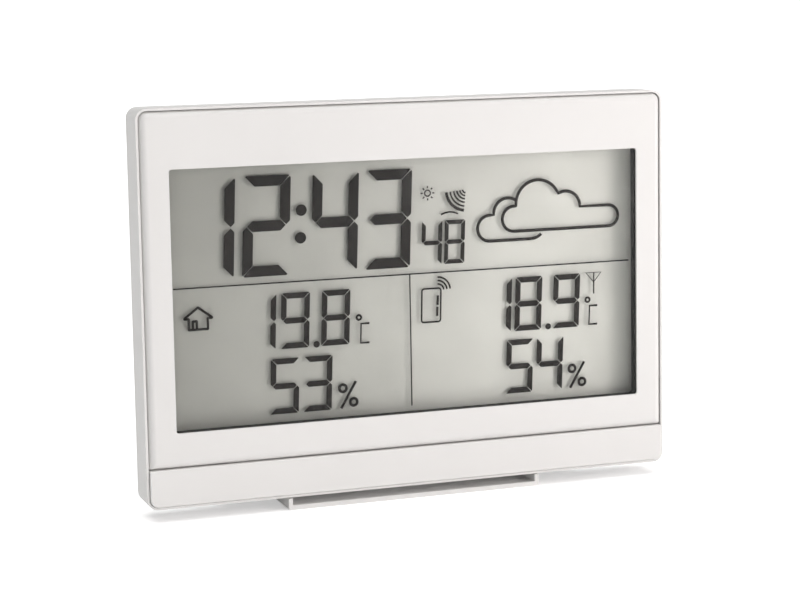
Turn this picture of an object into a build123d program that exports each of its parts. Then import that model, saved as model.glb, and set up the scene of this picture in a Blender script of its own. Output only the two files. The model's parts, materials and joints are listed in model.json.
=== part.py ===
from build123d import *
import math
import os

# A home weather station: a flat housing with a wide display, standing on a base that folds up
# against its back. Millimetres. X runs to the right, Y into the depth and Z up, and the base
# stands on Z = 0. Until the export at the end, the face of the front panel is at Y = 0.

# Housing
case_w = 173.0  # outer width
case_h = 122.2  # outer height
rim_d = 16.0  # depth of the side walls
case_r = 3.4  # corners, seen from the front
rear_r = 2.0  # rounding of the rear outer edges
shell_wall = 1.9  # side walls
back_wall = 2.0  # back plate and pod walls
lip_t = 0.7  # thin lip round the front panel
lip_set = 0.8  # lip's front edge, behind the face of the panel
seam_gap = 0.2  # panel to lip, and panel to trim

# Front panel and the trim under it
panel_t = 1.8  # thickness of the face
panel_skirt = 7.2  # depth of the panel's side walls
skirt_t = 2.2  # thickness of those walls
panel_bevel = 2.3  # soft rounding of the panel's sides and top
trim_h = 11.45  # height of the lower trim
trim_skirt = 6.0  # depth of the trim's walls
trim_edge = 0.5  # rounding of its front edges
clip_w = 6.0  # the trim's snap legs
clip_t = 1.0
clip_reach = 11.0

# Display
window_w = 154.0
window_h = 80.5
window_low = 23.3  # window's lower edge above the housing's underside
window_r = 0.8
window_lip = 0.8  # thin edge of the panel in front of the pane
pane_t = 1.5
pane_lap = 1.5  # how far the pane reaches behind the window's edge
gasket_t = 2.6
gasket_back = 0.2  # gasket's inner edge, behind the window's edge
glass_t = 1.15  # each of the two glasses of the cell
cell_lap = 3.0  # rear glass beyond the window, left and right
cell_rise = 0.7  # rear glass beyond the window, up and down
ledge_h = 2.8  # contact ledge of the front glass, up and down
reflector_t = 0.25
pocket_gap = 0.3  # round the cell and the pane
pocket_wall = 1.4
strip_t = 2.0  # elastomer contact strips
strip_short = 5.0  # their ends, inside the window's sides

# Circuit board
board_front = 9.2  # its front face, behind the panel's face
board_t = 1.6
board_w = 151.0
board_low = 14.6  # its lower edge, above the housing's underside
board_rise = 4.8  # its upper edge above the keys' middles
board_screw_x = (27.0, 66.0)  # upper row; the lower row has only the outer pair
board_screw_r = 1.0  # thread
board_boss_r = 1.9
screw_head_r = 1.9
screw_head_t = 1.2

# Housing screws
case_screw_in = 7.5  # from the housing's sides
case_screw_low = 15.5
case_screw_down = 7.7  # upper pair, from the housing's top
case_screw_r = 1.3
case_boss_r = 2.6
case_head_r = 2.5
case_head_t = 1.0
case_pad_r = 4.0
case_pad_t = 1.2  # pads inside the back plate, under the screw heads
head_pocket = 1.2

# Rear pod
pod_w = 124.0
pod_low = 3.0  # its underside above the housing's
pod_cap = 15.6  # its top above the battery bay
pod_r = 2.0
recess_wall = 1.8  # wall left behind the recesses

# Folding base
stand_w = 84.0
stand_drop = 4.0  # housing's underside above the table
stand_t = 1.45  # plate
stand_front = 0.5  # its front edge, behind the face of the panel
stand_depth = 54.5
stand_r = 5.0  # rear corners of the plate
stand_edge = 0.7  # rounding of its lower edges
arm_t = 1.3
arm_half = 3.5  # half the arm's depth, and the radius of its top
hinge_up = 12.25  # hinge axis above the housing's underside
hinge_pin_r = 1.5
hinge_pin_l = 1.7  # pin inside its wall
hinge_wall = 2.2
run_gap = 0.05  # radial clearance of a pin in its bore
move_gap = 0.3  # between a moving piece and its neighbours

# Battery bay and its sliding door
cell_r = 7.25  # an AA cell
cell_l = 50.5  # with its button
button_r = 2.75
button_l = 1.1
cell_gap = 0.2  # round each cell
bay_w = 57.8
bay_floor = 12.3  # inside face of the bay's floor
bay_wall = 1.1
door_lap = 2.2  # door beyond the bay, at its lower end
door_w = 65.4
door_t = 1.8
door_gap = 0.2
rail_w = 0.9
rail_t = 0.7
door_web = 2.8  # between the folded base's recess and the door's
grip_w = 24.0  # thumb grooves
grip_h = 1.2
grip_deep = 0.6
plate_t = 0.4  # contact plates
dome_l = 0.6
dome_r = 2.0
wire_r = 0.4  # contact springs
coil_big = 5.0
coil_small = 3.2
coil_turns = 3.5
lead_r = 0.6
tail_l = 2.0  # contact tails outside the bay

# Keys
key_names = ("set", "up", "down", "channel", "memory")
key_pitch = 18.0
key_r = 3.2
key_gap = 0.15
key_proud = 1.2
key_lap = 1.1  # flange beyond the hole
key_flange_t = 0.7
key_travel = 0.6
switch_w = 6.0
switch_t = 1.5
plunger_r = 1.6
plunger_deep = 0.55  # part of the plunger inside its switch

# Wall hanging
keyhole_r = 4.0
keyhole_x = 49.0
keyhole_down = 15.0  # below the pod's top
keyhole_slot_w = 3.6
keyhole_rise = 7.0

# Inner parts behind the board
rod_r = 4.0  # ferrite rod
rod_l = 60.0
rod_y = 19.0
rod_z = 34.0
coil_t = 1.2
coil_l = 24.0
saddle_t = 2.0
saddle_x = 24.0
buzzer_r = 9.5
buzzer_t = 0.4
buzzer_x = 74.0
buzzer_z = 80.0
sensor_x = -70.0
sensor_z = 40.0
vent_out = 5.6  # vents' middle, outside the sensor's
vent_l = 12.0
vent_w = 1.3
vent_count = 7
vent_pitch = 3.2

# Derived places
base_z = stand_drop
top_z = base_z + case_h
half_w = case_w / 2
lip_in = lip_t + seam_gap  # housing's outside to the panel's edge
trim_top = base_z + lip_in + trim_h
panel_low = trim_top + seam_gap
window_z0 = base_z + window_low
window_z1 = window_z0 + window_h
pane_front = window_lip
cell_front = window_lip + pane_t + gasket_t
cell_back = cell_front + 2 * glass_t
glass_hw = window_w / 2 + cell_lap
rear_z0 = window_z0 - cell_rise
rear_z1 = window_z1 + cell_rise
glass_z0 = rear_z0 - ledge_h
glass_z1 = rear_z1 + ledge_h
strip_hw = window_w / 2 - strip_short
boss_z0 = glass_z0 - pocket_gap - pocket_wall - board_screw_r - 0.5
boss_z1 = glass_z1 + pocket_gap + pocket_wall + board_boss_r
back_in = rim_d - back_wall
door_floor = bay_floor + 2 * cell_r + cell_gap
pod_back = door_floor + door_gap + door_t
hinge_z = base_z + hinge_up
plate_top = stand_t
fold_r = hinge_z - plate_top - move_gap  # recess floor from the hinge axis
hinge_y = pod_back - hinge_z  # puts the folded base flush with the pod's back
slot_in = stand_w / 2 - arm_t - move_gap
slot_out = stand_w / 2 + move_gap
block_in = slot_in - hinge_wall
block_out = slot_out + hinge_wall
slot_y = hinge_y - arm_half - move_gap
slot_top = hinge_z + arm_half + move_gap
recess_top = hinge_z + stand_front + stand_depth - hinge_y + move_gap
door_z0 = recess_top + door_web
bay_z0 = door_z0 + door_lap
bay_z1 = bay_z0 + 4 * cell_r + 3 * cell_gap
pod_top = bay_z1 + pod_cap
key_z = (pod_top + top_z) / 2
keyhole_z = pod_top - keyhole_down
board_back = board_front + board_t
board_z0 = base_z + board_low
board_z1 = key_z + board_rise
cell_y = bay_floor + cell_gap / 2 + cell_r
cell_z = (bay_z0 + cell_gap + cell_r, bay_z1 - cell_gap - cell_r)
screw_x = half_w - case_screw_in
screw_spots = [(x, z) for x in (-screw_x, screw_x) for z in (base_z + case_screw_low, top_z - case_screw_down)]
board_spots = [(x * s, boss_z1) for x in board_screw_x for s in (-1, 1)]
board_spots += [(board_screw_x[-1] * s, boss_z0) for s in (-1, 1)]
key_x = [(i - (len(key_names) - 1) / 2) * key_pitch for i in range(len(key_names))]
origin_y = (stand_front + stand_depth) / 2


def block(x0, x1, y0, y1, z0, z1):
    return Pos((x0 + x1) / 2, (y0 + y1) / 2, (z0 + z1) / 2) * Box(x1 - x0, y1 - y0, z1 - z0)


def tablet(x0, x1, y0, y1, z0, z1, r):
    """A block whose four edges along Y are rounded."""
    return fillet(block(x0, x1, y0, y1, z0, z1).edges().filter_by(Axis.Y), r)


def rod_along_y(x, z, y0, y1, r):
    return Pos(x, (y0 + y1) / 2, z) * Rot(90, 0, 0) * Cylinder(r, y1 - y0)


def rod_along_x(y, z, x0, x1, r):
    return Pos((x0 + x1) / 2, y, z) * Rot(0, 90, 0) * Cylinder(r, x1 - x0)


def mirrored(piece):
    """A piece and its mirror image on the other side of X = 0."""
    return piece + mirror(piece, Plane.YZ)


def tube(points, corner, r):
    """A wire along straight runs joined by tangent arcs."""
    path = FilletPolyline(*points, radius=corner)
    start = Plane(origin=path @ 0, z_dir=path % 0)
    return sweep(start * Circle(r), path=path)


# ---------------------------------------------------------------- rear shell
def pod_form(inset=0.0):
    """Outside of the rear pod, or its inside when inset by a wall. Its lower edge is round about
    the hinge of the base, so that the base can swing round it."""
    r = pod_back - hinge_y - inset
    low = base_z + pod_low + inset
    foot = hinge_y + math.sqrt(r**2 - (hinge_z - low) ** 2)
    half_turn = math.atan2(low - hinge_z, foot - hinge_y) / 2
    mid = (hinge_y + r * math.cos(half_turn), hinge_z + r * math.sin(half_turn))
    front = back_in - inset
    top = pod_top - inset
    outline = Polyline((foot, low), (front, low), (front, top), (hinge_y + r, top), (hinge_y + r, hinge_z))
    outline += ThreePointArc((foot, low), mid, (hinge_y + r, hinge_z))
    form = extrude(Plane.YZ * make_face(outline), amount=pod_w / 2 - inset, both=True)
    rounded = form.edges().filter_by(lambda e: e.center().Y > rim_d + 1)
    return fillet(rounded, pod_r) if inset == 0 else form


def stand_recess(grow=0.0):
    """The space that the folded base takes in the pod, made larger by grow on every side."""
    half = slot_out + grow
    floor = hinge_y + fold_r - grow
    top = recess_top + grow
    space = block(-half, half, hinge_y, 2 * pod_back, base_z - case_h, top)
    kept = rod_along_x(hinge_y, hinge_z, -half, half, fold_r - grow)
    kept += block(-half, half, hinge_y, floor, hinge_z, top)
    return space - kept


def door_recess(grow=0.0):
    """The space that the door and its slide take in the pod's back, open at the pod's top."""
    half = door_w / 2 + door_gap + grow
    return block(-half, half, door_floor - grow, 2 * pod_back, door_z0 - door_gap - grow, top_z + case_h)


def keyhole(x):
    """A round hole for a screw head with a narrow slot above it for the shank."""
    z = keyhole_z
    y0 = pod_back - 2 * back_wall
    y1 = pod_back + back_wall
    w = keyhole_slot_w / 2
    slot = block(x - w, x + w, y0, y1, z, z + keyhole_rise)
    slot += rod_along_y(x, z + keyhole_rise, y0, y1, w)
    return slot + rod_along_y(x, z, y0, y1, keyhole_r)


def sound_holes():
    """Seven small holes over the buzzer."""
    z = base_z + buzzer_z
    holes = rod_along_y(buzzer_x, z, back_in - 1, rim_d + 1, 0.9)
    for i in range(6):
        a = math.radians(60 * i)
        holes += rod_along_y(buzzer_x + 4 * math.cos(a), z + 4 * math.sin(a), back_in - 1, rim_d + 1, 0.9)
    return holes


def vents():
    """A ladder of slots over the climate sensor."""
    slots = Part()
    x = sensor_x - vent_out
    for i in range(vent_count):
        z = base_z + sensor_z + (i - (vent_count - 1) / 2) * vent_pitch
        x0, x1 = x - vent_l / 2, x + vent_l / 2
        slots += tablet(x0, x1, back_in - 1, rim_d + 1, z - vent_w / 2, z + vent_w / 2, vent_w * 0.45)
    return slots


def hinge_blocks(solid):
    """Solid blocks inside the shell that carry the arms of the base."""
    piece = block(block_in, block_out, slot_y - 1.5, 2 * pod_back, base_z, slot_top + 1.5)
    return mirrored(piece) & solid


def arm_slots():
    """Slots for the two arms, from the underside round to the back, and the bores of their pins."""
    slot = block(slot_in, slot_out, slot_y, 2 * pod_back, base_z - case_h, slot_top)
    slot += rod_along_x(hinge_y, hinge_z, slot_in, block_out + 1, hinge_pin_r + run_gap)
    return mirrored(slot)


def bay_box():
    """Walls and floor of the battery bay, still solid."""
    half = bay_w / 2 + bay_wall
    return block(-half, half, bay_floor - 1.0, door_floor, bay_z0 - bay_wall, bay_z1 + bay_wall)


def bay_hollow():
    """Inside of the bay, with the slits for the contact tails in its right wall."""
    hollow = block(-bay_w / 2, bay_w / 2, bay_floor, pod_back + 1, bay_z0, bay_z1)
    for z in cell_z:
        hollow += block(0, bay_w / 2 + bay_wall + 1, cell_y - 1.2, cell_y + 1.2, z - 0.5, z + 0.5)
    return hollow


def rod_saddles():
    """Two ribs on the pod's back wall that hold the ferrite rod."""
    z = base_z + rod_z
    back = hinge_y + fold_r - recess_wall / 2
    x0, x1 = saddle_x - saddle_t / 2, saddle_x + saddle_t / 2
    rib = block(x0, x1, rod_y - rod_r, back, z - rod_r - 2, z + rod_r + 2)
    rib -= rod_along_x(rod_y, z, x0 - 1, x1 + 1, rod_r + 0.1)
    rib -= block(x0 - 1, x1 + 1, 0, rod_y, z - rod_r - 0.1, z + rod_r + 0.1)
    return mirrored(rib)


def clip_ribs():
    """Low ribs on the shell's floor that the trim's snap legs hook behind."""
    ribs = Part()
    floor = base_z + shell_wall
    for x in clip_x():
        ribs += block(x - clip_w / 2, x + clip_w / 2, clip_reach - 2.4, clip_reach - 1.3, floor - 0.5, floor + 0.9)
    return ribs


def clip_x():
    """Middles of the trim's snap legs, clear of the hinge blocks."""
    outer = (block_out + half_w) / 2
    inner = block_in * 0.6
    return (-outer, -inner, inner, outer)


def rear_shell():
    rim = tablet(-half_w, half_w, lip_set, rim_d, base_z, top_z, case_r)
    rim = fillet(rim.faces().sort_by(Axis.Y)[-1].edges(), rear_r)
    solid = rim + pod_form()
    inner = half_w - shell_wall
    r_in = case_r - shell_wall
    shell = solid - tablet(-inner, inner, 0, back_in, base_z + shell_wall, top_z - shell_wall, r_in)
    seat = half_w - lip_t
    shell -= tablet(-seat, seat, 0, panel_skirt + 0.3, base_z + lip_t, top_z - lip_t, case_r - lip_t)
    hollow = pod_form(back_wall) - stand_recess(recess_wall) - door_recess(recess_wall)
    shell -= hollow
    shell += hinge_blocks(solid) + bay_box() + rod_saddles() + clip_ribs()
    for x, z in screw_spots:
        shell += rod_along_y(x, z, back_in - case_pad_t, back_in, case_pad_r) & solid
    rails = door_w / 2 + door_gap + rail_w
    rail_y = door_floor + door_gap
    shell -= stand_recess() + door_recess()
    shell -= block(-rails, rails, rail_y, rail_y + rail_t + door_gap, door_z0 - door_gap, top_z)
    shell -= arm_slots()
    shell -= bay_hollow()
    for side in (-1, 1):
        shell -= keyhole(side * keyhole_x)
    for x, z in screw_spots:
        shell -= rod_along_y(x, z, back_in - 2 * case_pad_t, rim_d, case_screw_r + 0.1)
        shell -= rod_along_y(x, z, rim_d - head_pocket, rim_d + 1, case_head_r + 0.3)
    for x in key_x:
        shell -= rod_along_y(x, key_z, back_in - 1, rim_d + 1, key_r + key_gap)
    return shell - sound_holes() - vents()


# ------------------------------------------------------------- front pieces
def window_cut(y0, y1, grow=0.0):
    """A cutter the size of the window, grown on every side."""
    half = window_w / 2 + grow
    return tablet(-half, half, y0, y1, window_z0 - grow, window_z1 + grow, window_r + grow)


def front_bezel():
    half = half_w - lip_in
    high = top_z - lip_in
    body = block(-half, half, 0, panel_skirt, panel_low, high)
    body = fillet(body.edges().filter_by(Axis.Y).group_by(Axis.Z)[-1], case_r - lip_in)
    body = fillet(body.edges().filter_by(Axis.Y).group_by(Axis.Z)[0], trim_edge)
    face = body.faces().sort_by(Axis.Y)[0]
    body = fillet([e for e in face.edges() if e.center().Z > panel_low + 1], panel_bevel)
    inner = half - skirt_t
    body -= block(-inner, inner, panel_t, panel_skirt + 1, panel_low + skirt_t, high - skirt_t)
    wide = glass_hw + pocket_gap
    low, up = glass_z0 - pocket_gap, glass_z1 + pocket_gap
    wall = pocket_wall
    body += block(-wide - wall, wide + wall, panel_t, board_front - 0.3, low - wall, up + wall)
    for x, z in board_spots:
        body += rod_along_y(x, z, panel_t, board_front, board_boss_r)
    for x, z in screw_spots:
        body += rod_along_y(x, z, panel_t, back_in - case_pad_t, case_boss_r)
    body -= block(-wide, wide, window_lip + pane_t, board_front + 1, low, up)
    for x, z in board_spots:
        body -= rod_along_y(x, z, board_front - 4.5, board_front + 1, board_screw_r)
    for x, z in screw_spots:
        body -= rod_along_y(x, z, panel_t + 2, rim_d, case_screw_r)
    body -= window_cut(window_lip, window_lip + pane_t + 0.1, pane_lap + 0.15)
    return body - window_cut(-1, panel_skirt)


def lower_trim():
    half = half_w - lip_in
    low = base_z + lip_in
    body = block(-half, half, 0, trim_skirt, low, trim_top)
    body = fillet(body.edges().filter_by(Axis.Y).group_by(Axis.Z)[0], case_r - lip_in)
    body = fillet(body.edges().filter_by(Axis.Y).group_by(Axis.Z)[-1], trim_edge)
    body = fillet(body.faces().sort_by(Axis.Y)[0].edges(), trim_edge * 0.8)
    inner = half - skirt_t
    body -= block(-inner, inner, panel_t, trim_skirt + 1, low + skirt_t, trim_top - skirt_t)
    leg_z = base_z + shell_wall + 1.2
    hook_z = base_z + shell_wall + 0.3
    for x in clip_x():
        x0, x1 = x - clip_w / 2 + 0.5, x + clip_w / 2 - 0.5
        body += block(x0, x1, panel_t / 2, clip_reach, leg_z, leg_z + clip_t)
        body += block(x0, x1, clip_reach - 1.0, clip_reach, hook_z, leg_z)
    return body


def display_window():
    y0 = pane_front
    return window_cut(y0, y0 + pane_t, pane_lap)


def display_gasket():
    y0 = window_lip + pane_t
    ring = block(-glass_hw, glass_hw, y0, cell_front, glass_z0, glass_z1)
    return ring - window_cut(y0 - 1, cell_front + 1, gasket_back)


def lcd_cell():
    """Two bonded glasses; the front one stands out up and down as the contact ledges."""
    body = block(-glass_hw, glass_hw, cell_front, cell_front + glass_t, glass_z0, glass_z1)
    return body + block(-glass_hw, glass_hw, cell_front + glass_t, cell_back, rear_z0, rear_z1)


def lcd_reflector():
    half = glass_hw - 0.2
    return block(-half, half, cell_back, cell_back + reflector_t, rear_z0 + 0.1, rear_z1 - 0.1)


def contact_strip(side):
    """An elastomer strip between a ledge of the front glass and the circuit board."""
    z = (glass_z0 + rear_z0) / 2 if side < 0 else (glass_z1 + rear_z1) / 2
    y0 = cell_front + glass_t
    return block(-strip_hw, strip_hw, y0, board_front, z - strip_t / 2, z + strip_t / 2)


# ------------------------------------------------------- board and its parts
def main_circuit_board():
    board = block(-board_w / 2, board_w / 2, board_front, board_back, board_z0, board_z1)
    notch_in, notch_out = block_in - 0.5, block_out + 0.5
    board -= mirrored(block(notch_in, notch_out, board_front - 1, board_back + 1, base_z, slot_top + 2))
    for x, z in board_spots:
        board -= rod_along_y(x, z, board_front - 1, board_back + 1, board_screw_r + 0.1)
    return board


def on_board(x, z, w, h, t):
    """A part lying on the back of the board, by its middle, size and thickness."""
    return block(x - w / 2, x + w / 2, board_back, board_back + t, base_z + z - h / 2, base_z + z + h / 2)


def controller_chip():
    return fillet(on_board(-47, 76, 14, 14, 1.6).edges().group_by(Axis.Y)[-1], 0.4)


def clock_crystal():
    z = base_z + 60
    return Pos(-47, board_back + 1.5, z) * Cylinder(1.5, 8.0)


def filter_capacitors():
    group = Part()
    for x in (-54, -40):
        group += rod_along_y(x, base_z + 46, board_back, board_back + 6.5, 2.5)
    return group


def chip_resistors():
    group = Part()
    for i in range(8):
        group += on_board(42 + 4 * (i % 4), 66 + 6 * (i // 4), 1.6, 3.2, 0.6)
    return group


def radio_board():
    return on_board(50, 42, 16, 24, 1.0)


def radio_shield():
    y0 = board_back + 1.0
    z = base_z + 42
    return fillet(block(44.5, 55.5, y0, y0 + 2.2, z - 8, z + 8).edges().group_by(Axis.Y)[-1], 0.4)


def climate_sensor():
    return on_board(sensor_x, sensor_z, 7, 9, 1.8)


def switch_bodies():
    group = Part()
    for x in key_x:
        body = on_board(x, key_z - base_z, switch_w, switch_w, switch_t)
        group += body - rod_along_y(x, key_z, board_back + 0.2, board_back + 2 * switch_t, plunger_r + key_gap)
    return group


def key_flange_front():
    return back_in - key_gap - key_flange_t


def switch_plunger(x):
    y0 = board_back + switch_t - plunger_deep
    return rod_along_y(x, key_z, y0, key_flange_front(), plunger_r)


def key(x):
    """A round key with a flange behind the back plate."""
    y0 = key_flange_front()
    cap = rod_along_y(x, key_z, y0, rim_d + key_proud, key_r)
    cap = fillet(cap.edges().sort_by(Axis.Y)[-1], 0.5)
    return cap + rod_along_y(x, key_z, y0, y0 + key_flange_t, key_r + key_lap)


def screw(x, z, seat, length, r, head_r, head_t):
    """A pan-head screw that points to the front, with a cross recess in its head."""
    head = rod_along_y(x, z, seat, seat + head_t, head_r)
    head = fillet(head.edges().sort_by(Axis.Y)[-1], head_t * 0.4)
    for w, h in ((head_r * 1.1, head_r * 0.28), (head_r * 0.28, head_r * 1.1)):
        head -= block(x - w / 2, x + w / 2, seat + head_t * 0.45, seat + head_t + 1, z - h / 2, z + h / 2)
    return head + rod_along_y(x, z, seat - length, seat, r)


def case_screws():
    group = Part()
    for x, z in screw_spots:
        group += screw(x, z, rim_d - head_pocket, 9.0, case_screw_r - 0.02, case_head_r, case_head_t)
    return group


def board_screws():
    group = Part()
    for x, z in board_spots:
        group += screw(x, z, board_back, board_t + 4.0, board_screw_r - 0.02, screw_head_r, screw_head_t)
    return group


# ------------------------------------------------------------ battery parts
def battery(index):
    """An AA cell along X; the upper one has its button on the left."""
    side = 1 if index == 0 else -1
    z = cell_z[index]
    tip = side * (bay_w / 2 - plate_t - dome_l)
    neck = tip - side * button_l
    end = tip - side * cell_l
    can = rod_along_x(cell_y, z, min(neck, end), max(neck, end), cell_r)
    can = fillet(can.edges().filter_by(GeomType.CIRCLE), 0.6)
    return can + rod_along_x(cell_y, z, min(neck, tip), max(neck, tip), button_r)


def contact_plate(side, z0, z1):
    """A plate against an end wall of the bay."""
    wall = side * bay_w / 2
    face = wall - side * plate_t
    return block(min(wall, face), max(wall, face), cell_y - 5, cell_y + 5, z0, z1)


def contact_dome(side, z):
    face = side * (bay_w / 2 - plate_t)
    tip = face - side * dome_l
    return rod_along_x(cell_y, z, min(face, tip), max(face, tip), dome_r)


def contact_tail(z):
    """A tongue through the bay's wall, for the lead."""
    out = bay_w / 2 + bay_wall + tail_l
    return block(bay_w / 2 - plate_t, out, cell_y - 1, cell_y + 1, z - 0.2, z + 0.2)


def bridge_contact():
    plate = contact_plate(-1, cell_z[0] - 5.5, cell_z[1] + 5.5)
    return plate + contact_dome(-1, cell_z[1])


def positive_contact():
    z = cell_z[0]
    return contact_plate(1, z - 5.5, z + 5.5) + contact_dome(1, z) + contact_tail(z)


def negative_contact():
    z = cell_z[1]
    return contact_plate(1, z - 5.5, z + 5.5) + contact_tail(z)


def contact_spring(side, z):
    """A conical spring from its plate to the flat end of a cell, closed by a ring at each end."""
    face = bay_w / 2 - plate_t
    length = bay_w - 2 * plate_t - dome_l - cell_l
    rise = length - 2 * wire_r
    lean = math.degrees(math.atan2(coil_small - coil_big, rise))
    path = Helix(rise / coil_turns, rise, coil_big, cone_angle=lean)
    wire = sweep(Plane(origin=path @ 0, z_dir=path % 0) * Circle(wire_r), path=path, is_frenet=True)
    turned = Rot(0, -90 * side, 0) * wire
    return Pos(side * (face - wire_r), cell_y, z) * turned


def contact_springs():
    return Part() + contact_spring(-1, cell_z[0]) + contact_spring(1, cell_z[1])


def battery_lead(z):
    """From a contact tail to the back of the board."""
    x0 = bay_w / 2 + bay_wall + tail_l
    x1 = x0 + 5
    return tube([(x0, cell_y, z), (x1, cell_y, z), (x1, board_back, z)], 3.0, lead_r)


def battery_door():
    half = door_w / 2
    slab = pod_form() & block(-half, half, door_floor + door_gap, 2 * pod_back, door_z0, top_z)
    rail_y = door_floor + door_gap
    rails = half + rail_w - 0.1
    slab += block(-rails, rails, rail_y, rail_y + rail_t, door_z0, pod_top - pod_r - 1)
    for i in range(3):
        z = pod_top - 10 - 3 * i
        slab -= tablet(-grip_w / 2, grip_w / 2, pod_back - grip_deep, pod_back + 1, z, z + grip_h, grip_h * 0.45)
    return slab


# -------------------------------------------------------- behind the board
def antenna_rod():
    return rod_along_x(rod_y, base_z + rod_z, -rod_l / 2, rod_l / 2, rod_r)


def antenna_coil():
    z = base_z + rod_z
    coil = rod_along_x(rod_y, z, -coil_l / 2, coil_l / 2, rod_r + coil_t)
    return coil - rod_along_x(rod_y, z, -coil_l, coil_l, rod_r + 0.02)


def antenna_leads():
    y1 = rod_y - rod_r - coil_t
    z = base_z + rod_z
    return Part() + [rod_along_y(x, z, board_back, y1, 0.35) for x in (-8, 8)]


def buzzer_disc():
    return rod_along_y(buzzer_x, base_z + buzzer_z, back_in - buzzer_t, back_in, buzzer_r)


def buzzer_leads():
    group = Part()
    y0 = back_in - buzzer_t
    y1 = (y0 + board_back) / 2
    z0 = base_z + buzzer_z - 4
    z1 = z0 - 9
    for x in (68.0, 72.0):
        group += tube([(x, y0, z0), (x, y1, z0), (x, y1, z1), (x, board_back, z1)], 0.9, 0.35)
    return group


# ------------------------------------------------------------ folding base
def stand():
    """A flat plate under the housing with two short cheeks, and arms up to the hinge pins."""
    half = stand_w / 2
    back = stand_front + stand_depth
    plate = block(-half, half, stand_front, back, 0, stand_t)
    corners = plate.edges().filter_by(Axis.Z).group_by(Axis.Y)[-1]
    plate = fillet(corners, stand_r)
    cheek_top = base_z - move_gap
    cheek = block(half - arm_t, half, stand_front, hinge_y + arm_half, 0, cheek_top)
    body = plate + mirrored(cheek)
    lower = body.edges().filter_by(Axis.Y).filter_by(lambda e: e.center().Z < 0.01)
    body = fillet(lower, stand_edge)
    arm = block(half - arm_t, half, hinge_y - arm_half, hinge_y + arm_half, stand_t, hinge_z)
    arm += rod_along_x(hinge_y, hinge_z, half - arm_t, half, arm_half)
    arm += rod_along_x(hinge_y, hinge_z, half - arm_t, slot_out + hinge_pin_l, hinge_pin_r)
    return body + mirrored(arm)


pieces = {
    "rear_shell": rear_shell(),
    "front_bezel": front_bezel(),
    "lower_trim": lower_trim(),
    "display_window": display_window(),
    "display_gasket": display_gasket(),
    "lcd_cell": lcd_cell(),
    "lcd_reflector": lcd_reflector(),
    "contact_strip_lower": contact_strip(-1),
    "contact_strip_upper": contact_strip(1),
    "main_circuit_board": main_circuit_board(),
    "controller_chip": controller_chip(),
    "clock_crystal": clock_crystal(),
    "filter_capacitors": filter_capacitors(),
    "chip_resistors": chip_resistors(),
    "radio_board": radio_board(),
    "radio_shield": radio_shield(),
    "climate_sensor": climate_sensor(),
    "switch_bodies": switch_bodies(),
    "case_screws": case_screws(),
    "board_screws": board_screws(),
    "battery_lower": battery(0),
    "battery_upper": battery(1),
    "bridge_contact": bridge_contact(),
    "positive_contact": positive_contact(),
    "negative_contact": negative_contact(),
    "contact_springs": contact_springs(),
    "battery_lead_red": battery_lead(cell_z[0]),
    "battery_lead_black": battery_lead(cell_z[1]),
    "battery_door": battery_door(),
    "antenna_rod": antenna_rod(),
    "antenna_coil": antenna_coil(),
    "antenna_leads": antenna_leads(),
    "buzzer_disc": buzzer_disc(),
    "buzzer_leads": buzzer_leads(),
    "stand": stand(),
}
for name, x in zip(key_names, key_x):
    pieces[f"key_{name}"] = key(x)
    pieces[f"switch_plunger_{name}"] = switch_plunger(x)

os.makedirs("parts", exist_ok=True)
for name, piece in pieces.items():
    export_step(Pos(0, -origin_y, 0) * piece, f"parts/{name}.step")
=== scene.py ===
import json
import math

import bmesh
import bpy
from mathutils import Matrix, Vector

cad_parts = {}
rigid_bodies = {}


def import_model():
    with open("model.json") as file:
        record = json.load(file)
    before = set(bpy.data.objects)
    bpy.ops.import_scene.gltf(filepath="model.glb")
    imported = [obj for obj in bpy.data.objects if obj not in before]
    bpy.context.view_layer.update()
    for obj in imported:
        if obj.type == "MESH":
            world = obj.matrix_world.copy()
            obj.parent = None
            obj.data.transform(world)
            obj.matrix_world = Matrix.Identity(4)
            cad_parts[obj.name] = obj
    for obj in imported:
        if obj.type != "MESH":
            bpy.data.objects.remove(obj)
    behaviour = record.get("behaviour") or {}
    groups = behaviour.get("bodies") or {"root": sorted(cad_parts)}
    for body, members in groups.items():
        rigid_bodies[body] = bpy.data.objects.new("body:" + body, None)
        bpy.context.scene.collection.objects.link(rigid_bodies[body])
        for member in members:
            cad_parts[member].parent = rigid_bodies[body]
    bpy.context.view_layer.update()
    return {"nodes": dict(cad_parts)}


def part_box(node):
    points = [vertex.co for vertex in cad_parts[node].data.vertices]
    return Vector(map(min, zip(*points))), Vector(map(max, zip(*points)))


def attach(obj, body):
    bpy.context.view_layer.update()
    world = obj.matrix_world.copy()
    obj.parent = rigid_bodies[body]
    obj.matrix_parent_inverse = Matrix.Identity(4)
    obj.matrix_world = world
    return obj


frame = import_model()
nodes = frame["nodes"]

# ------------------------------------------------------------------ Camera
# A long lens, a little above the housing and well to its left, so that the left side wall
# shows. A small shift and roll place the housing in the frame.
view_azimuth, view_elevation, view_roll = math.radians(-19.36), math.radians(7.21), math.radians(-0.99)
view_distance = 0.679
face_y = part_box("front_bezel")[0].y
aim = Vector((-0.0027, face_y, 0.0785))
back = Vector((
    math.sin(view_azimuth) * math.cos(view_elevation),
    -math.cos(view_azimuth) * math.cos(view_elevation),
    math.sin(view_elevation),
))
lens = bpy.data.cameras.new("camera")
lens.lens = 98.0
lens.shift_x, lens.shift_y = -0.0058, -0.0592
camera = bpy.data.objects.new("camera", lens)
turn = (-back).to_track_quat("-Z", "Y").to_matrix() @ Matrix.Rotation(view_roll, 3, "Z")
camera.matrix_world = Matrix.Translation(aim + back * view_distance) @ turn.to_4x4()
bpy.context.collection.objects.link(camera)
bpy.context.scene.camera = camera


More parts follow.
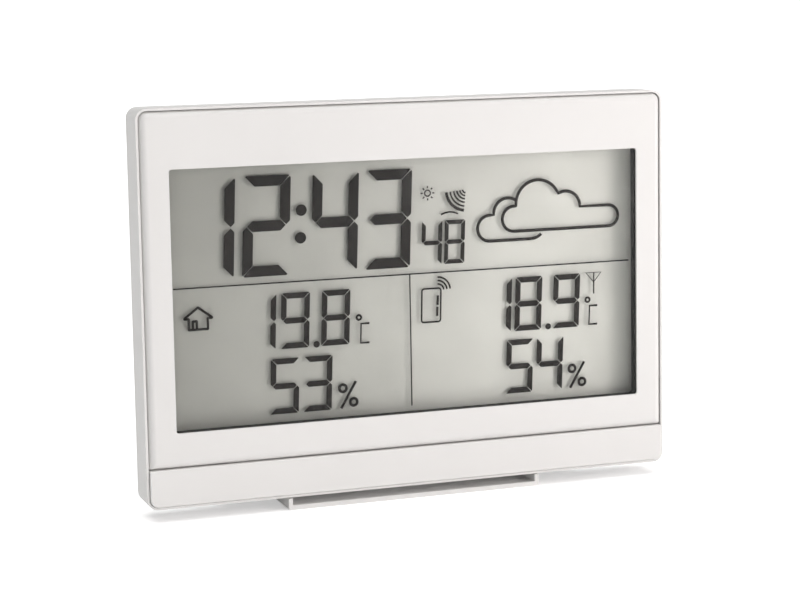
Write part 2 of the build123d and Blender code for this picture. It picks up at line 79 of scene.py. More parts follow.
# ------------------------------------------------------ Studio: floor and lights
# A pale paper floor that curves up all round into a low wall, so that no horizon shows. A faint
# sky, a tall lamp and a low one at the right in front, and a wide one straight above. The paper
# glows a little where the camera sees it, which keeps it white and lights nothing.
def link(obj):
    """Puts an object in the scene."""
    bpy.context.collection.objects.link(obj)
    return obj


def add(tree, kind, **inputs):
    """A node with its inputs set to plain values or joined to sockets."""
    node = tree.nodes.new(kind)
    for name, value in inputs.items():
        socket = node.inputs[name.replace("_", " ")]
        if isinstance(value, bpy.types.NodeSocket):
            tree.links.new(value, socket)
        else:
            socket.default_value = value
    return node


def backdrop():
    """A round floor with its edge curved up into a wall."""
    flat, curve, steps, turns = 1.5, 0.7, 12, 96
    profile = [(0.0, 0.0), (flat, 0.0)]
    for i in range(1, steps + 1):
        a = math.pi / 2 * i / steps
        profile.append((flat + curve * math.sin(a), curve * (1 - math.cos(a))))
    mesh = bmesh.new()
    rings = []
    for r, z in profile:
        if r == 0:
            rings.append([mesh.verts.new((0, 0, z))] * turns)
        else:
            angles = [2 * math.pi * k / turns for k in range(turns)]
            rings.append([mesh.verts.new((r * math.cos(a), r * math.sin(a), z)) for a in angles])
    for low, high in zip(rings, rings[1:]):
        for k in range(turns):
            n = (k + 1) % turns
            corners = [low[k], high[k], high[n]]
            if low[k] is not low[n]:
                corners.append(low[n])
            mesh.faces.new(corners).smooth = True
    data = bpy.data.meshes.new("studio_floor")
    mesh.to_mesh(data)
    mesh.free()
    return link(bpy.data.objects.new("studio_floor", data))


floor = backdrop()
floor_finish = bpy.data.materials.new("studio_paper")
floor_finish.use_nodes = True
paper = floor_finish.node_tree
paper_shader = paper.nodes["Principled BSDF"]
paper_shader.inputs["Base Color"].default_value = (0.96, 0.96, 0.96, 1)
paper_shader.inputs["Specular IOR Level"].default_value = 0.2
paper_shader.inputs["Emission Color"].default_value = (1, 1, 1, 1)
paper_seen = add(paper, "ShaderNodeLightPath").outputs["Is Camera Ray"]
paper_glow = add(paper, "ShaderNodeMapRange", Value=paper_seen, To_Min=0.0, To_Max=0.35)
paper.links.new(paper_glow.outputs["Result"], paper_shader.inputs["Emission Strength"])
paper_place = add(paper, "ShaderNodeTexCoord").outputs["Object"]
paper_noise = add(paper, "ShaderNodeTexNoise", Vector=paper_place, Scale=400.0)
paper_rough = add(paper, "ShaderNodeMapRange", Value=paper_noise.outputs["Fac"], To_Min=0.75, To_Max=0.9)
paper.links.new(paper_rough.outputs["Result"], paper_shader.inputs["Roughness"])
floor.data.materials.append(floor_finish)

sky = bpy.data.worlds.new("studio_sky")
bpy.context.scene.world = sky
sky.use_nodes = True
sky.node_tree.nodes["Background"].inputs["Color"].default_value = (1.0, 0.995, 0.985, 1)
sky.node_tree.nodes["Background"].inputs["Strength"].default_value = 0.02

housing_middle = Vector((0, 0, 0.06))


def lamp(name, azimuth, elevation, distance, width, height, power):
    """A soft, slightly warm rectangular lamp that faces the middle of the housing."""
    data = bpy.data.lights.new(name, "AREA")
    data.shape = "RECTANGLE"
    data.size, data.size_y, data.energy = width, height, power
    a, e = math.radians(azimuth), math.radians(elevation)
    away = Vector((math.sin(a) * math.cos(e), -math.cos(a) * math.cos(e), math.sin(e)))
    obj = link(bpy.data.objects.new(name, data))
    place = housing_middle + away * distance
    data.color = (1.0, 0.935, 0.92)
    obj.visible_camera = False
    obj.matrix_world = Matrix.Translation(place) @ (-away).to_track_quat("-Z", "Y").to_matrix().to_4x4()


lamp("tall_lamp", azimuth=45, elevation=11, distance=1.0, width=0.35, height=0.7, power=5.1)
lamp("low_lamp", azimuth=34, elevation=-3, distance=0.9, width=0.5, height=0.5, power=0.8)
overhead = bpy.data.lights.new("overhead_lamp", "SUN")
overhead.energy, overhead.angle = 2.7, math.radians(80)
link(bpy.data.objects.new("overhead_lamp", overhead))
bpy.context.scene.view_settings.view_transform = "Standard"
bpy.context.scene.cycles.transparent_max_bounces = 24


# ------------------------------------------------- Housing, front panel, trim, base
# Injection moulded ABS in a warm white, with a very fine matt grain from the mould, polished a
# little in soft patches. Four screws from behind hold the shell to the panel, the trim snaps
# on, the battery door slides on rails, and the base turns on two pins.
MM = 0.001


def node_group(name, inputs, outputs):
    """An empty shader group with its named inputs and outputs, and its two end nodes."""
    tree = bpy.data.node_groups.new(name, "ShaderNodeTree")
    for label, kind, value in inputs:
        socket = tree.interface.new_socket(label, in_out="INPUT", socket_type="NodeSocket" + kind)
        if value is not None:
            socket.default_value = value
    for label, kind in outputs:
        tree.interface.new_socket(label, in_out="OUTPUT", socket_type="NodeSocket" + kind)
    return tree, tree.nodes.new("NodeGroupInput").outputs, tree.nodes.new("NodeGroupOutput").inputs


def math_node(tree, operation, a, b=0.0, clamp=False):
    """One step of arithmetic; each value is a number or a socket."""
    node = tree.nodes.new("ShaderNodeMath")
    node.operation, node.use_clamp = operation, clamp
    for socket, value in zip(node.inputs, (a, b)):
        if isinstance(value, bpy.types.NodeSocket):
            tree.links.new(value, socket)
        else:
            socket.default_value = value
    return node.outputs[0]


grain_tree, grain_in, grain_out = node_group(
    "surface_grain",
    [("Vector", "Vector", None), ("Pitch", "Float", 0.0003)],
    [("Height", "Float"), ("Speck", "Float")],
)
grain_scale = math_node(grain_tree, "DIVIDE", 1.0, grain_in["Pitch"])
grain_noise = add(grain_tree, "ShaderNodeTexNoise", Vector=grain_in["Vector"], Scale=grain_scale, Detail=2.0)
grain_tree.links.new(grain_noise.outputs["Fac"], grain_out["Height"])
grain_speck = add(grain_tree, "ShaderNodeMapRange", Value=grain_noise.outputs["Fac"], From_Min=0.35, From_Max=0.65)
grain_tree.links.new(grain_speck.outputs["Result"], grain_out["Speck"])

drift_tree, drift_in, drift_out = node_group(
    "slow_drift", [("Vector", "Vector", None), ("Size", "Float", 0.03)], [("Mask", "Float")]
)
drift_scale = math_node(drift_tree, "DIVIDE", 1.0, drift_in["Size"])
drift_noise = add(drift_tree, "ShaderNodeTexNoise", Vector=drift_in["Vector"], Scale=drift_scale, Detail=3.0)
drift_mask = add(drift_tree, "ShaderNodeMapRange", Value=drift_noise.outputs["Fac"], From_Min=0.3, From_Max=0.7)
drift_tree.links.new(drift_mask.outputs["Result"], drift_out["Mask"])


def grouped(tree, group, **inputs):
    """One use of a shader group in a material."""
    node = tree.nodes.new("ShaderNodeGroup")
    node.node_tree = group
    for name, value in inputs.items():
        if isinstance(value, bpy.types.NodeSocket):
            tree.links.new(value, node.inputs[name])
        else:
            node.inputs[name].default_value = value
    return node.outputs


def mixed(tree, factor, first, second):
    """Two colours mixed by a mask; each is a socket or three numbers."""
    node = tree.nodes.new("ShaderNodeMix")
    node.data_type = "RGBA"
    tree.links.new(factor, node.inputs[0])
    for socket, value in ((node.inputs[6], first), (node.inputs[7], second)):
        if isinstance(value, bpy.types.NodeSocket):
            tree.links.new(value, socket)
        else:
            socket.default_value = (*value, 1)
    return node.outputs[2]


def cover(material, *names):
    """Gives a material to CAD nodes, in place of their plain one."""
    for name in names:
        data = nodes[name].data
        data.materials.clear()
        data.materials.append(material)


class Finish:
    """A material with one Principled shader, a slow drift of tone, and a fine grain that sets its
    roughness and bump."""

    def __init__(self, name, first, second, rough, pitch, depth, drift=0.03, metallic=0.0, **plain):
        self.material = bpy.data.materials.new(name)
        self.material.use_nodes = True
        self.tree = self.material.node_tree
        self.shader = self.tree.nodes["Principled BSDF"]
        self.place = add(self.tree, "ShaderNodeTexCoord").outputs["Object"]
        self.mask = grouped(self.tree, drift_tree, Vector=self.place, Size=drift)["Mask"]
        self.grain = grouped(self.tree, grain_tree, Vector=self.place, Pitch=pitch)
        self.colour(mixed(self.tree, self.mask, first, second))
        uneven = math_node(self.tree, "MULTIPLY", self.mask, 0.5)
        uneven = math_node(self.tree, "ADD", uneven, math_node(self.tree, "MULTIPLY", self.grain["Speck"], 0.5))
        spread = add(self.tree, "ShaderNodeMapRange", Value=uneven, To_Min=rough[0], To_Max=rough[1])
        self.tree.links.new(spread.outputs["Result"], self.shader.inputs["Roughness"])
        self.height(self.grain["Height"], depth)
        self.shader.inputs["Metallic"].default_value = metallic
        for label, value in plain.items():
            self.shader.inputs[label.replace("_", " ")].default_value = value

    def colour(self, socket):
        """Makes a socket the base colour, and keeps it so that the next one can start from it."""
        self.tree.links.new(socket, self.shader.inputs["Base Color"])
        self.shown = socket

    def height(self, socket, depth):
        """A bump of that depth in metres, on top of any bump already there."""
        bump = add(self.tree, "ShaderNodeBump", Height=socket, Distance=depth)
        before = self.shader.inputs["Normal"].links
        if before:
            self.tree.links.new(before[0].from_socket, bump.inputs["Normal"])
        self.tree.links.new(bump.outputs["Normal"], self.shader.inputs["Normal"])

    def on(self, *names):
        cover(self.material, *names)


white_abs = Finish(
    "white_abs", (0.765, 0.757, 0.743), (0.742, 0.735, 0.722), (0.52, 0.64), 0.35 * MM, 0.006 * MM,
    drift=0.06, IOR=1.53,
)
white_abs.on("rear_shell", "front_bezel", "lower_trim", "battery_door")

# The base is the same plastic from another mould, a shade darker and slightly smoother.
stand_abs = Finish(
    "white_abs_stand", (0.755, 0.75, 0.736), (0.73, 0.725, 0.712), (0.4, 0.54), 0.35 * MM, 0.006 * MM,
    drift=0.02, IOR=1.53,
)
stand_abs.on("stand")


# ------------------------------------------------------------- Display window
# An acrylic pane in a recess behind the thin edge of the window, held there by the gasket. It
# has almost no colour, a faint film of dust and a low-glare surface.
def clear_finish(name, tint, rough, index):
    """Clear sheet: what is behind shows straight through, unbent, and its front faces reflect."""
    material = bpy.data.materials.new(name)
    material.use_nodes = True
    tree = material.node_tree
    tree.nodes.remove(tree.nodes["Principled BSDF"])
    place = add(tree, "ShaderNodeTexCoord").outputs["Object"]
    haze = grouped(tree, drift_tree, Vector=place, Size=0.02)["Mask"]
    through = tree.nodes.new("ShaderNodeBsdfTransparent")
    tree.links.new(mixed(tree, haze, tint, tuple(c * 0.985 for c in tint)), through.inputs["Color"])
    gloss = tree.nodes.new("ShaderNodeBsdfGlossy")
    uneven = add(tree, "ShaderNodeMapRange", Value=haze, To_Min=rough, To_Max=rough * 1.8)
    tree.links.new(uneven.outputs["Result"], gloss.inputs["Roughness"])
    gloss.inputs["Color"].default_value = (1, 1, 1, 1)
    fresnel = add(tree, "ShaderNodeFresnel", IOR=index).outputs["Fac"]
    front = math_node(tree, "SUBTRACT", 1.0, tree.nodes.new("ShaderNodeNewGeometry").outputs["Backfacing"])
    mix = tree.nodes.new("ShaderNodeMixShader")
    tree.links.new(math_node(tree, "MULTIPLY", fresnel, front), mix.inputs[0])
    tree.links.new(through.outputs[0], mix.inputs[1])
    tree.links.new(gloss.outputs[0], mix.inputs[2])
    tree.links.new(mix.outputs[0], tree.nodes["Material Output"].inputs["Surface"])
    return material


cover(clear_finish("clear_acrylic", (0.987, 0.987, 0.985), 0.03, 1.3), "display_window")

# ------------------------------------------------------------- Display gasket
# A die-cut frame of black closed-cell foam, pressed between the pane and the front glass. It
# keeps dust out and hides the edge of the display.
foam = Finish("black_foam", (0.012, 0.012, 0.012), (0.022, 0.022, 0.021), (0.85, 0.98), 0.5 * MM, 0.08 * MM)
foam_cells = add(foam.tree, "ShaderNodeTexVoronoi", Vector=foam.place, Scale=2600.0)
foam.height(foam_cells.outputs["Distance"], 0.05 * MM)
foam.on("display_gasket")

# ------------------------------------------------------- Liquid crystal cell
# Two bonded glasses with polarisers. The lit segments lie between them, and a grey-green film
# behind throws the light back, so each segment also drops a soft shadow. The film's colour carries
# painted light: a painted shade at the left, and paler towards the right and the bottom, for the
# lamps' sheen on it. The digits and signs are ink-thin solids in the bond.
cover(clear_finish("lcd_glass", (0.98, 0.98, 0.975), 0.12, 1.04), "lcd_cell")

film = Finish(
    "reflector_film", (0.95, 0.955, 0.92), (0.94, 0.945, 0.91), (0.5, 0.6), 0.12 * MM, 0.004 * MM,
    drift=0.02, metallic=0.3,
)
film_place = add(film.tree, "ShaderNodeSeparateXYZ", Vector=film.place).outputs
film_low, film_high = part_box("lcd_reflector")
# Painted light: the film's colour runs from a painted shade at the left to its pale colour at the right, and is
# painted paler towards the bottom, standing in for the lamps' sheen on the film.
film_painted_shade = (0.58, 0.585, 0.55)
film_painted_light_from, film_painted_light_to = film_low.x - 4 * MM, film_high.x - 16 * MM
film_painted_light_across = add(film.tree, "ShaderNodeMapRange", Value=film_place["X"], From_Min=film_painted_light_from, From_Max=film_painted_light_to)
film_painted_light_across.interpolation_type = "SMOOTHSTEP"
film_painted_light_down = add(
    film.tree, "ShaderNodeMapRange", Value=film_place["Z"],
    From_Min=film_high.z, From_Max=film_low.z, To_Min=0.0, To_Max=0.14,
)
film_painted_light_mask = math_node(film.tree, "ADD", film_painted_light_across.outputs["Result"], film_painted_light_down.outputs["Result"], clamp=True)
film.colour(mixed(film.tree, film_painted_light_mask, film_painted_shade, film.shown))
film.on("lcd_reflector")

ink = Finish(
    "liquid_crystal_dark", (0.010, 0.009, 0.008), (0.018, 0.015, 0.013), (0.5, 0.7), 0.2 * MM, 0.002 * MM,
    drift=0.006, Specular_IOR_Level=0.2,
)

# The bond lies half way into the cell; heights on the display are above the housing's underside.
cell_low, cell_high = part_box("lcd_cell")
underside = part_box("rear_shell")[0].z
bond_y = (cell_low.y + cell_high.y) / 2
INK_DEEP = 0.04 * MM
LEAN = 0.042  # how far the digits lean to the right for each unit of height


def geometry_tree(name, inputs):
    """A geometry tree with a geometry in and out, and named inputs for its sizes."""
    tree = bpy.data.node_groups.new(name, "GeometryNodeTree")
    tree.interface.new_socket("Geometry", in_out="INPUT", socket_type="NodeSocketGeometry")
    for label, kind in inputs:
        tree.interface.new_socket(label, in_out="INPUT", socket_type="NodeSocket" + kind)
    tree.interface.new_socket("Geometry", in_out="OUTPUT", socket_type="NodeSocketGeometry")
    return tree, tree.nodes.new("NodeGroupInput").outputs, tree.nodes.new("NodeGroupOutput").inputs


def stood_up(tree, geometry, place, material, out):
    """Ends a tree: a flat drawing is stood on its edge in its place, made real and given its material."""
    real = add(tree, "GeometryNodeRealizeInstances", Geometry=geometry)
    upright = add(tree, "GeometryNodeTransform", Geometry=real.outputs[0], Translation=place)
    upright.inputs["Rotation"].default_value = (math.pi / 2, 0, 0)
    finish = add(tree, "GeometryNodeSetMaterial", Geometry=upright.outputs[0], Material=material)
    tree.links.new(finish.outputs[0], out["Geometry"])


def segments_tree():
    """Puts the flat shapes of a digit at points, by each point's number, and gives them thickness."""
    tree, given, out = geometry_tree(
        "lit_segments",
        [("Shapes", "Collection"), ("Thickness", "Float"), ("Place", "Vector"), ("Ink", "Material")],
    )
    shapes = add(tree, "GeometryNodeCollectionInfo", Collection=given["Shapes"])
    shapes.inputs["Separate Children"].default_value = True
    which = tree.nodes.new("GeometryNodeInputNamedAttribute")
    which.data_type = "INT"
    which.inputs["Name"].default_value = "shape"
    placed = add(tree, "GeometryNodeInstanceOnPoints", Points=given["Geometry"], Instance=shapes.outputs[0])
    placed.inputs["Pick Instance"].default_value = True
    tree.links.new(which.outputs["Attribute"], placed.inputs["Instance Index"])
    flat = add(tree, "GeometryNodeRealizeInstances", Geometry=placed.outputs[0])
    thick = add(tree, "GeometryNodeExtrudeMesh", Mesh=flat.outputs[0], Offset_Scale=given["Thickness"])
    thick.inputs["Individual"].default_value = False
    under = add(tree, "GeometryNodeFlipFaces", Mesh=flat.outputs[0])
    both = tree.nodes.new("GeometryNodeJoinGeometry")
    tree.links.new(thick.outputs["Mesh"], both.inputs[0])
    tree.links.new(under.outputs[0], both.inputs[0])
    closed = add(tree, "GeometryNodeMergeByDistance", Geometry=both.outputs[0], Distance=0.001 * MM)
    stood_up(tree, closed.outputs[0], given["Place"], given["Ink"], out)
    return tree


def line_tree():
    """Turns drawn paths into flat bars of one width, with slightly rounded corners."""
    tree, given, out = geometry_tree(
        "drawn_lines",
        [("Width", "Float"), ("Thickness", "Float"), ("Corner", "Float"), ("Place", "Vector"), ("Ink", "Material")],
    )
    path = add(tree, "GeometryNodeMeshToCurve", Mesh=given["Geometry"])
    rounded = tree.nodes.new("GeometryNodeFilletCurve")
    rounded.mode = "POLY"
    rounded.inputs["Count"].default_value = 3
    rounded.inputs["Limit Radius"].default_value = True
    tree.links.new(path.outputs[0], rounded.inputs["Curve"])
    tree.links.new(given["Corner"], rounded.inputs["Radius"])
    level = tree.nodes.new("GeometryNodeSetCurveNormal")
    level.mode = "Z_UP"
    tree.links.new(rounded.outputs[0], level.inputs["Curve"])
    section = tree.nodes.new("GeometryNodeCurvePrimitiveQuadrilateral")
    tree.links.new(given["Width"], section.inputs["Width"])
    tree.links.new(given["Thickness"], section.inputs["Height"])
    bar = add(tree, "GeometryNodeCurveToMesh", Curve=level.outputs[0], Profile_Curve=section.outputs[0])
    bar.inputs["Fill Caps"].default_value = True
    stood_up(tree, bar.outputs[0], given["Place"], given["Ink"], out)
    return tree


def settled(name, source, tree, **sizes):
    """Runs a geometry tree on a source mesh and keeps its result as a plain mesh."""
    holder = link(bpy.data.objects.new(name + "_source", source))
    modifier = holder.modifiers.new(tree.name, "NODES")
    modifier.node_group = tree
    sockets = {s.name: s.identifier for s in tree.interface.items_tree if s.in_out == "INPUT"}
    for label, value in sizes.items():
        modifier[sockets[label]] = value
    holder.update_tag()
    graph = bpy.context.evaluated_depsgraph_get()
    data = bpy.data.meshes.new_from_object(holder.evaluated_get(graph))
    holder.modifiers.remove(modifier)
    bpy.data.objects.remove(holder)
    data.name = name
    return link(bpy.data.objects.new(name, data))


def segment_shapes(width, height, stroke, gap, dot):
    """Outlines of the segments a to g and of the dot, about the digit's lower left corner."""
    w, h, s, m = width, height, stroke, height / 2
    cut = 0.2 * s
    tip = 0.36 * s
    g = gap / math.sqrt(2)
    top = [(cut / 2 + g, h - cut / 2), (s + g, h - s), (w - s - g, h - s), (w - cut / 2 - g, h - cut / 2),
           (w - cut - g, h), (cut + g, h)]
    side = [(s, h - s - g), (cut / 2, h - cut / 2 - g), (0, h - cut - g), (0, m + tip + g), (tip, m + g),
            (s, m + s - tip + g)]
    middle = [(tip + g, m), (tip + s / 2 + g, m - s / 2), (w - tip - s / 2 - g, m - s / 2), (w - tip - g, m),
              (w - tip - s / 2 - g, m + s / 2), (tip + s / 2 + g, m + s / 2)]

    def across(points):
        return [(w - x, z) for x, z in reversed(points)]

    def down(points):
        return [(x, h - z) for x, z in reversed(points)]

    outlines = {
        "a": top, "b": across(side), "c": down(across(side)), "d": down(top), "e": down(side), "f": side,
        "g": middle,
    }
    outlines = {k: [(x + LEAN * (z - m), z) for x, z in v] for k, v in outlines.items()}
    round_dot = [2 * math.pi * k / 24 for k in range(24)]
    outlines["h"] = [(dot * math.cos(a), dot * math.sin(a)) for a in round_dot]
    shapes = bpy.data.collections.new("digit_shapes")
    for letter, points in outlines.items():
        data = bpy.data.meshes.new("shape_" + letter)
        data.from_pydata([(x * MM, z * MM, 0) for x, z in points], [], [list(range(len(points)))])
        shapes.objects.link(bpy.data.objects.new("shape_" + letter, data))
    return shapes


# The segments that each digit lights.
LIT = {
    "1": "bc", "2": "abged", "3": "abgcd", "4": "fgbc", "5": "afgcd", "8": "abcdefg", "9": "abcdfg",
}
ink_place = Vector((0, bond_y, underside))
segments = segments_tree()


def digits(name, rows, dots, width, stroke, gap, dot):
    """Digits by their right edges at mid height; all rows have the same width and stroke."""
    height = rows[0][3]
    shapes = segment_shapes(width, height, stroke, gap, dot)
    spots, kinds = [], []
    for text, edges, low, _ in rows:
        for letter, right in zip(text, edges):
            for part in LIT[letter]:
                spots.append(((right - width) * MM, low * MM, 0))
                kinds.append("abcdefg".index(part))
    for x, z in dots:
        spots.append((x * MM, z * MM, 0))
        kinds.append(7)
    source = bpy.data.meshes.new(name + "_points")
    source.from_pydata(spots, [], [])
    source.attributes.new("shape", "INT", "POINT").data.foreach_set("value", kinds)
    piece = settled(
        name, source, segments, Shapes=shapes, Thickness=INK_DEEP, Place=ink_place, Ink=ink.material
    )
    for shape in list(shapes.objects):
        bpy.data.objects.remove(shape)
    bpy.data.collections.remove(shapes)
    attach(piece, "housing")


digits("digits_time", [("1243", (-55.6, -37.9, -15.8, 1.75), 69.0, 31.2)],
       [(-34.2, 88.9), (-34.6, 80.3)], 15.1, 3.35, 0.26, 1.8)
digits("digits_seconds", [("48", (12.0, 19.7), 69.3, 13.9)], [], 6.9, 1.35, 0.16, 0.6)
digits("digits_indoor", [("198", (-43.15, -32.3, -19.1), 45.9, 17.45), ("53", (-36.15, -25.4), 25.5, 17.45)],
       [(-30.2, 46.6)], 9.3, 1.8, 0.2, 1.05)
digits("digits_outdoor", [("189", (35.5, 46.0, 59.3), 46.0, 17.45), ("54", (42.7, 53.2), 25.8, 17.45)],
       [(48.2, 46.8)], 9.3, 1.8, 0.2, 1.0)

lines = line_tree()


def arc(x, z, r, start, end, steps=16):
    """Points along part of a circle, in degrees from +X towards +Z."""
    angles = [math.radians(start + (end - start) * i / steps) for i in range(steps + 1)]
    return [(x + r * math.cos(a), z + r * math.sin(a)) for a in angles]


def drawing(name, paths, width, corner=0.0):
    """A sign drawn as lines of one width; a path that ends where it starts is closed."""
    spots, edges = [], []
    for path in paths:
        closed = math.dist(path[0], path[-1]) < 1e-6
        points = path[:-1] if closed else path
        first = len(spots)
        spots += [(x * MM, z * MM, 0) for x, z in points]
        edges += [(first + i, first + i + 1) for i in range(len(points) - 1)]
        if closed:
            edges.append((len(spots) - 1, first))
    source = bpy.data.meshes.new(name + "_paths")
    source.from_pydata(spots, edges, [])
    piece = settled(
        name, source, lines, Width=width * MM, Thickness=INK_DEEP, Corner=corner * MM, Place=ink_place,
        Ink=ink.material,
    )
    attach(piece, "housing")


drawing("divider_lines", [[(-75.4, 66.75), (76.8, 66.75)], [(1.0, 24.6), (1.0, 66.75)]], 0.42)
drawing("sign_cloud_front", [
    [(36.7, 78.4), (69.7, 78.4)] + arc(69.7, 81.8, 3.45, -90, 90)[1:] + [(59.7, 85.25)]
    + arc(54.6, 85.4, 5.1, 0, 118)[1:] + arc(45.0, 87.0, 7.6, 22, 180)[1:] + [(37.4, 86.5)]
    + arc(36.7, 82.45, 4.05, 90, 270),
], 1.0)
drawing("sign_cloud_back", [
    [(37.5, 88.4)] + arc(34.6, 84.35, 4.9, 57, 183) + arc(28.3, 79.85, 4.15, 90, 270)
    + arc(42.5, 80.7, 5.0, 270, 315),
], 1.0)
drawing("sign_house", [
    [(-70.8, 57.3), (-72.4, 57.3), (-67.8, 60.7), (-63.2, 57.3), (-64.8, 57.3), (-64.8, 53.9), (-70.8, 53.9),
     (-70.8, 57.3)],
    [(-69.5, 53.9), (-69.5, 56.5), (-68.3, 56.5), (-68.3, 53.9)],
], 0.78, 0.12)
drawing("sign_sensor", [
    [(5.0, 61.7), (11.4, 61.7), (11.1, 51.0), (4.7, 51.0), (5.0, 61.7)],
    *[arc(10.3, 61.0, r, 4, 90, 10) for r in (2.05, 3.15, 4.25)],
], 0.54, 0.7)
drawing("sign_channel", [[(10.2, 56.3), (10.35, 59.4)], [(10.0, 52.8), (10.15, 55.8)]], 0.75)
drawing("sign_dish_waves", [
    *[arc(20.3, 92.7, r, 186, 264, 10) for r in (5.3, 4.1, 3.0, 2.0, 1.1)],
    [(11.8, 85.1), (13.2, 85.6), (14.7, 85.8), (16.2, 85.6), (17.6, 85.1)],
], 0.55)
drawing("sign_dish", [arc(20.3, 92.7, 6.65, 186, 264, 14)], 0.95)
drawing("sign_sun", [
    arc(7.4, 92.1, 0.95, 0, 360, 20),
    *[[(7.4 + a * math.cos(k * math.pi / 4), 92.1 + a * math.sin(k * math.pi / 4)) for a in (1.6, 2.3)]
      for k in range(8)],
], 0.42)
drawing("sign_aerial", [
    [(61.7, 63.4), (67.0, 63.4), (64.4, 60.3), (61.7, 63.4)], [(64.45, 63.4), (64.4, 56.5)],
], 0.46)
for side, x, z in (("indoor", -15.6, 46.0), ("outdoor", 62.75, 46.5)):
    drawing("unit_degree_" + side, [
        arc(x - 0.55, z + 8.1, 0.74, 0, 360, 20),
        [(x + 2.9, z + 6.1), (x + 0.15, z + 6.1), (x - 0.1, z), (x + 2.8, z)],
    ], 0.68)
for side, x, z in (("indoor", -20.1, 29.75), ("outdoor", 58.3, 30.1)):
    drawing("unit_percent_" + side, [
        arc(x - 1.8, z + 2.25, 1.15, 0, 360, 24), arc(x + 1.7, z - 2.35, 1.15, 0, 360, 24),
        [(x - 2.5, z - 4.15), (x + 2.5, z + 4.25)],
    ], 0.88)

# -------------------------------------------------------- Contact strips
# Silicone strips of thin conducting and clear layers. They are not soldered: they are pressed
# between the ledges of the front glass and the main board.
strips = Finish("elastomer", (0.30, 0.33, 0.36), (0.24, 0.27, 0.30), (0.5, 0.65), 0.3 * MM, 0.01 * MM)
layers = add(strips.tree, "ShaderNodeTexWave", Vector=strips.place, Scale=1200.0)
strips.colour(mixed(strips.tree, layers.outputs["Fac"], strips.shown, (0.03, 0.03, 0.035)))
strips.on("contact_strip_lower", "contact_strip_upper")

# ------------------------------------------------------------- Circuit boards
# Glass-epoxy boards with a green solder mask, through which copper tracks show as lighter
# lines. The main one is screwed to posts behind the panel, and the radio board lies on its back.
boards = Finish("circuit_board", (0.012, 0.10, 0.035), (0.015, 0.13, 0.045), (0.25, 0.4), 0.4 * MM, 0.006 * MM)
tracks = add(boards.tree, "ShaderNodeTexBrick", Scale=160.0)
tracks.inputs["Mortar Size"].default_value = 0.03
flat_board = add(boards.tree, "ShaderNodeMapping", Vector=boards.place)
flat_board.inputs["Rotation"].default_value = (math.pi / 2, 0, 0)
boards.tree.links.new(flat_board.outputs[0], tracks.inputs["Vector"])
boards.colour(mixed(boards.tree, tracks.outputs["Fac"], boards.shown, (0.05, 0.30, 0.09)))
boards.height(tracks.outputs["Fac"], 0.02 * MM)
boards.on("main_circuit_board", "radio_board")

# ---------------------------------------------------------- Parts on the board
# Soldered to the main board: a moulded black chip, two sleeved capacitors, chip resistors, a
# pale perforated climate sensor, and the key switches with black nylon bodies and plungers.
epoxy = Finish("black_epoxy", (0.018, 0.018, 0.02), (0.03, 0.03, 0.032), (0.5, 0.7), 0.15 * MM, 0.01 * MM)
epoxy.on("controller_chip")
ceramic = Finish(
    "ceramic", (0.03, 0.03, 0.03), (0.06, 0.06, 0.058), (0.4, 0.6), 0.2 * MM, 0.006 * MM, drift=0.002,
)
ceramic.on("chip_resistors")
sleeves = Finish("capacitor_sleeve", (0.012, 0.02, 0.07), (0.02, 0.03, 0.09), (0.22, 0.34), 0.6 * MM, 0.01 * MM)
sleeves.on("filter_capacitors")
sensor = Finish("sensor_case", (0.72, 0.74, 0.78), (0.66, 0.68, 0.72), (0.4, 0.55), 0.3 * MM, 0.008 * MM)
# The pores are dark dots of painted shade, standing in for the shaded inside of the holes in the case.
pores = add(sensor.tree, "ShaderNodeTexVoronoi", Vector=sensor.place, Scale=900.0, Randomness=0.0)
sensor_pore_painted_shade = math_node(sensor.tree, "LESS_THAN", pores.outputs["Distance"], 0.25)
sensor.colour(mixed(sensor.tree, sensor_pore_painted_shade, sensor.shown, (0.04, 0.04, 0.045)))
sensor.on("climate_sensor")
nylon = Finish("black_nylon", (0.014, 0.014, 0.016), (0.026, 0.026, 0.028), (0.42, 0.58), 0.25 * MM, 0.01 * MM)
nylon.on("switch_bodies", *[n for n in nodes if n.startswith("switch_plunger_")])

# ------------------------------------------------- Springs, contacts and screens
# The battery contacts are pressed and the springs wound from nickel-plated spring steel, with
# fine drawing marks along X, and stand against the end walls of the battery bay. The crystal's
# can and the radio's screen, both soldered on, have the same bright look.
nickel = Finish(
    "nickel_steel", (0.62, 0.60, 0.56), (0.52, 0.50, 0.47), (0.2, 0.36), 0.2 * MM, 0.004 * MM, drift=0.006,
    metallic=1.0,
)
drawn = add(nickel.tree, "ShaderNodeMapping", Vector=nickel.place)
drawn.inputs["Scale"].default_value = (0.05, 1.0, 1.0)
marks = add(nickel.tree, "ShaderNodeTexNoise", Vector=drawn.outputs[0], Scale=6000.0)
nickel.height(marks.outputs["Fac"], 0.003 * MM)
nickel.on(
    "clock_crystal", "radio_shield", "bridge_contact", "positive_contact", "negative_contact", "contact_springs"
)

# ------------------------------------------------------------------- Screws
# Self-tapping screws of zinc-plated steel with a faint yellow-grey bloom, and heads with a
# pressed cross. Four close the case, and six hold the main board.
zinc = Finish(
    "zinc_screws", (0.58, 0.58, 0.56), (0.47, 0.48, 0.45), (0.24, 0.4), 0.15 * MM, 0.006 * MM, drift=0.002,
    metallic=1.0,
)
zinc.on("case_screws", "board_screws")

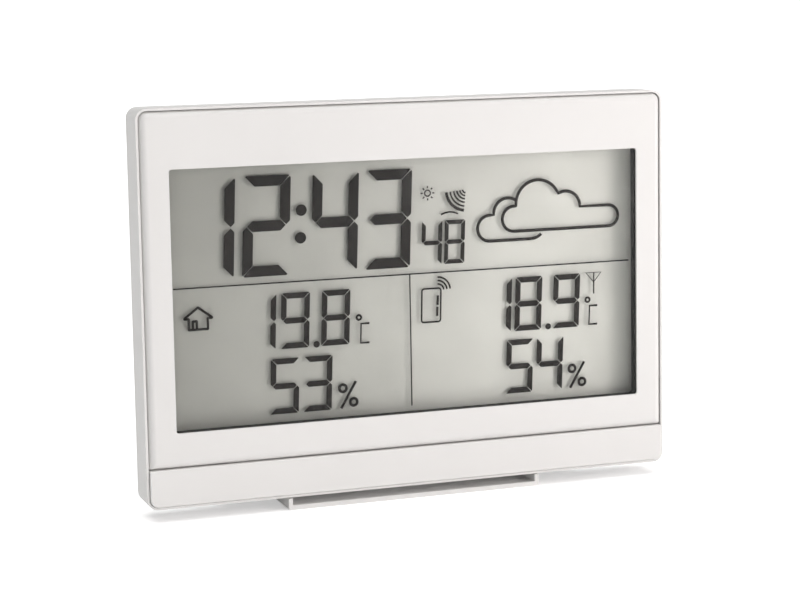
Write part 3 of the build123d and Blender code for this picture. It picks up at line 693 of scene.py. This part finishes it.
# ------------------------------------------------------------------ Batteries
# Two AA cells, one above the other and facing opposite ways, in a plain printed sleeve: grey,
# with a broad darker band round the middle.
cell_finish = Finish(
    "battery_can", (0.20, 0.23, 0.25), (0.17, 0.20, 0.22), (0.25, 0.36), 0.3 * MM, 0.004 * MM, metallic=0.3,
)
band_half = 11 * MM
can_low, can_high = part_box("battery_upper")
along_cell = add(cell_finish.tree, "ShaderNodeSeparateXYZ", Vector=cell_finish.place).outputs["X"]
off_middle = math_node(cell_finish.tree, "SUBTRACT", along_cell, (can_low.x + can_high.x) / 2)
off_middle = math_node(cell_finish.tree, "ABSOLUTE", off_middle)
in_band = math_node(cell_finish.tree, "LESS_THAN", off_middle, band_half)
cell_finish.colour(mixed(cell_finish.tree, in_band, cell_finish.shown, (0.05, 0.065, 0.08)))
cell_finish.on("battery_lower", "battery_upper")

# ---------------------------------------------------------------------- Leads
# PVC insulated wire, red and black, slightly glossy. The leads are soldered from the battery
# contacts and the buzzer to the main board.
red_pvc = Finish("red_wire", (0.42, 0.012, 0.01), (0.34, 0.01, 0.008), (0.3, 0.45), 0.4 * MM, 0.01 * MM)
red_pvc.on("battery_lead_red")
black_pvc = Finish("black_wire", (0.015, 0.015, 0.015), (0.026, 0.026, 0.026), (0.3, 0.45), 0.4 * MM, 0.01 * MM)
black_pvc.on("battery_lead_black", "buzzer_leads")

# -------------------------------------------------------------- Radio antenna
# A sintered ferrite rod in two saddles of the shell, with a winding of enamelled copper wire
# whose ends run to the main board. The turns are too fine to build, so they are a relief.
ferrite = Finish(
    "ferrite", (0.035, 0.035, 0.036), (0.06, 0.058, 0.056), (0.55, 0.75), 0.25 * MM, 0.03 * MM, drift=0.004,
)
ferrite.on("antenna_rod")
copper = Finish(
    "copper_coil", (0.52, 0.17, 0.06), (0.42, 0.13, 0.045), (0.22, 0.36), 0.3 * MM, 0.004 * MM, metallic=1.0,
)
wire_turns = add(copper.tree, "ShaderNodeTexWave", Vector=copper.place, Scale=900.0)
copper.height(wire_turns.outputs["Fac"], 0.12 * MM)
copper.on("antenna_coil", "antenna_leads")

# --------------------------------------------------------------------- Buzzer
# A thin brass disc with a fine matt grain, glued to the inside of the back over the sound
# holes. Its two leads are with the others, above.
brass = Finish(
    "brass_disc", (0.62, 0.42, 0.14), (0.52, 0.34, 0.11), (0.25, 0.42), 0.2 * MM, 0.005 * MM, metallic=1.0,
)
brass.on("buzzer_disc")

# ----------------------------------------------------------------------- Keys
# Five round keys in light grey ABS with a soft satin grain. Each stands through a hole in the
# back and rests on its own switch plunger.
keys = Finish("grey_keys", (0.47, 0.48, 0.48), (0.42, 0.43, 0.43), (0.42, 0.55), 0.3 * MM, 0.006 * MM, drift=0.006)
keys.on(*[n for n in nodes if n.startswith("key_")])
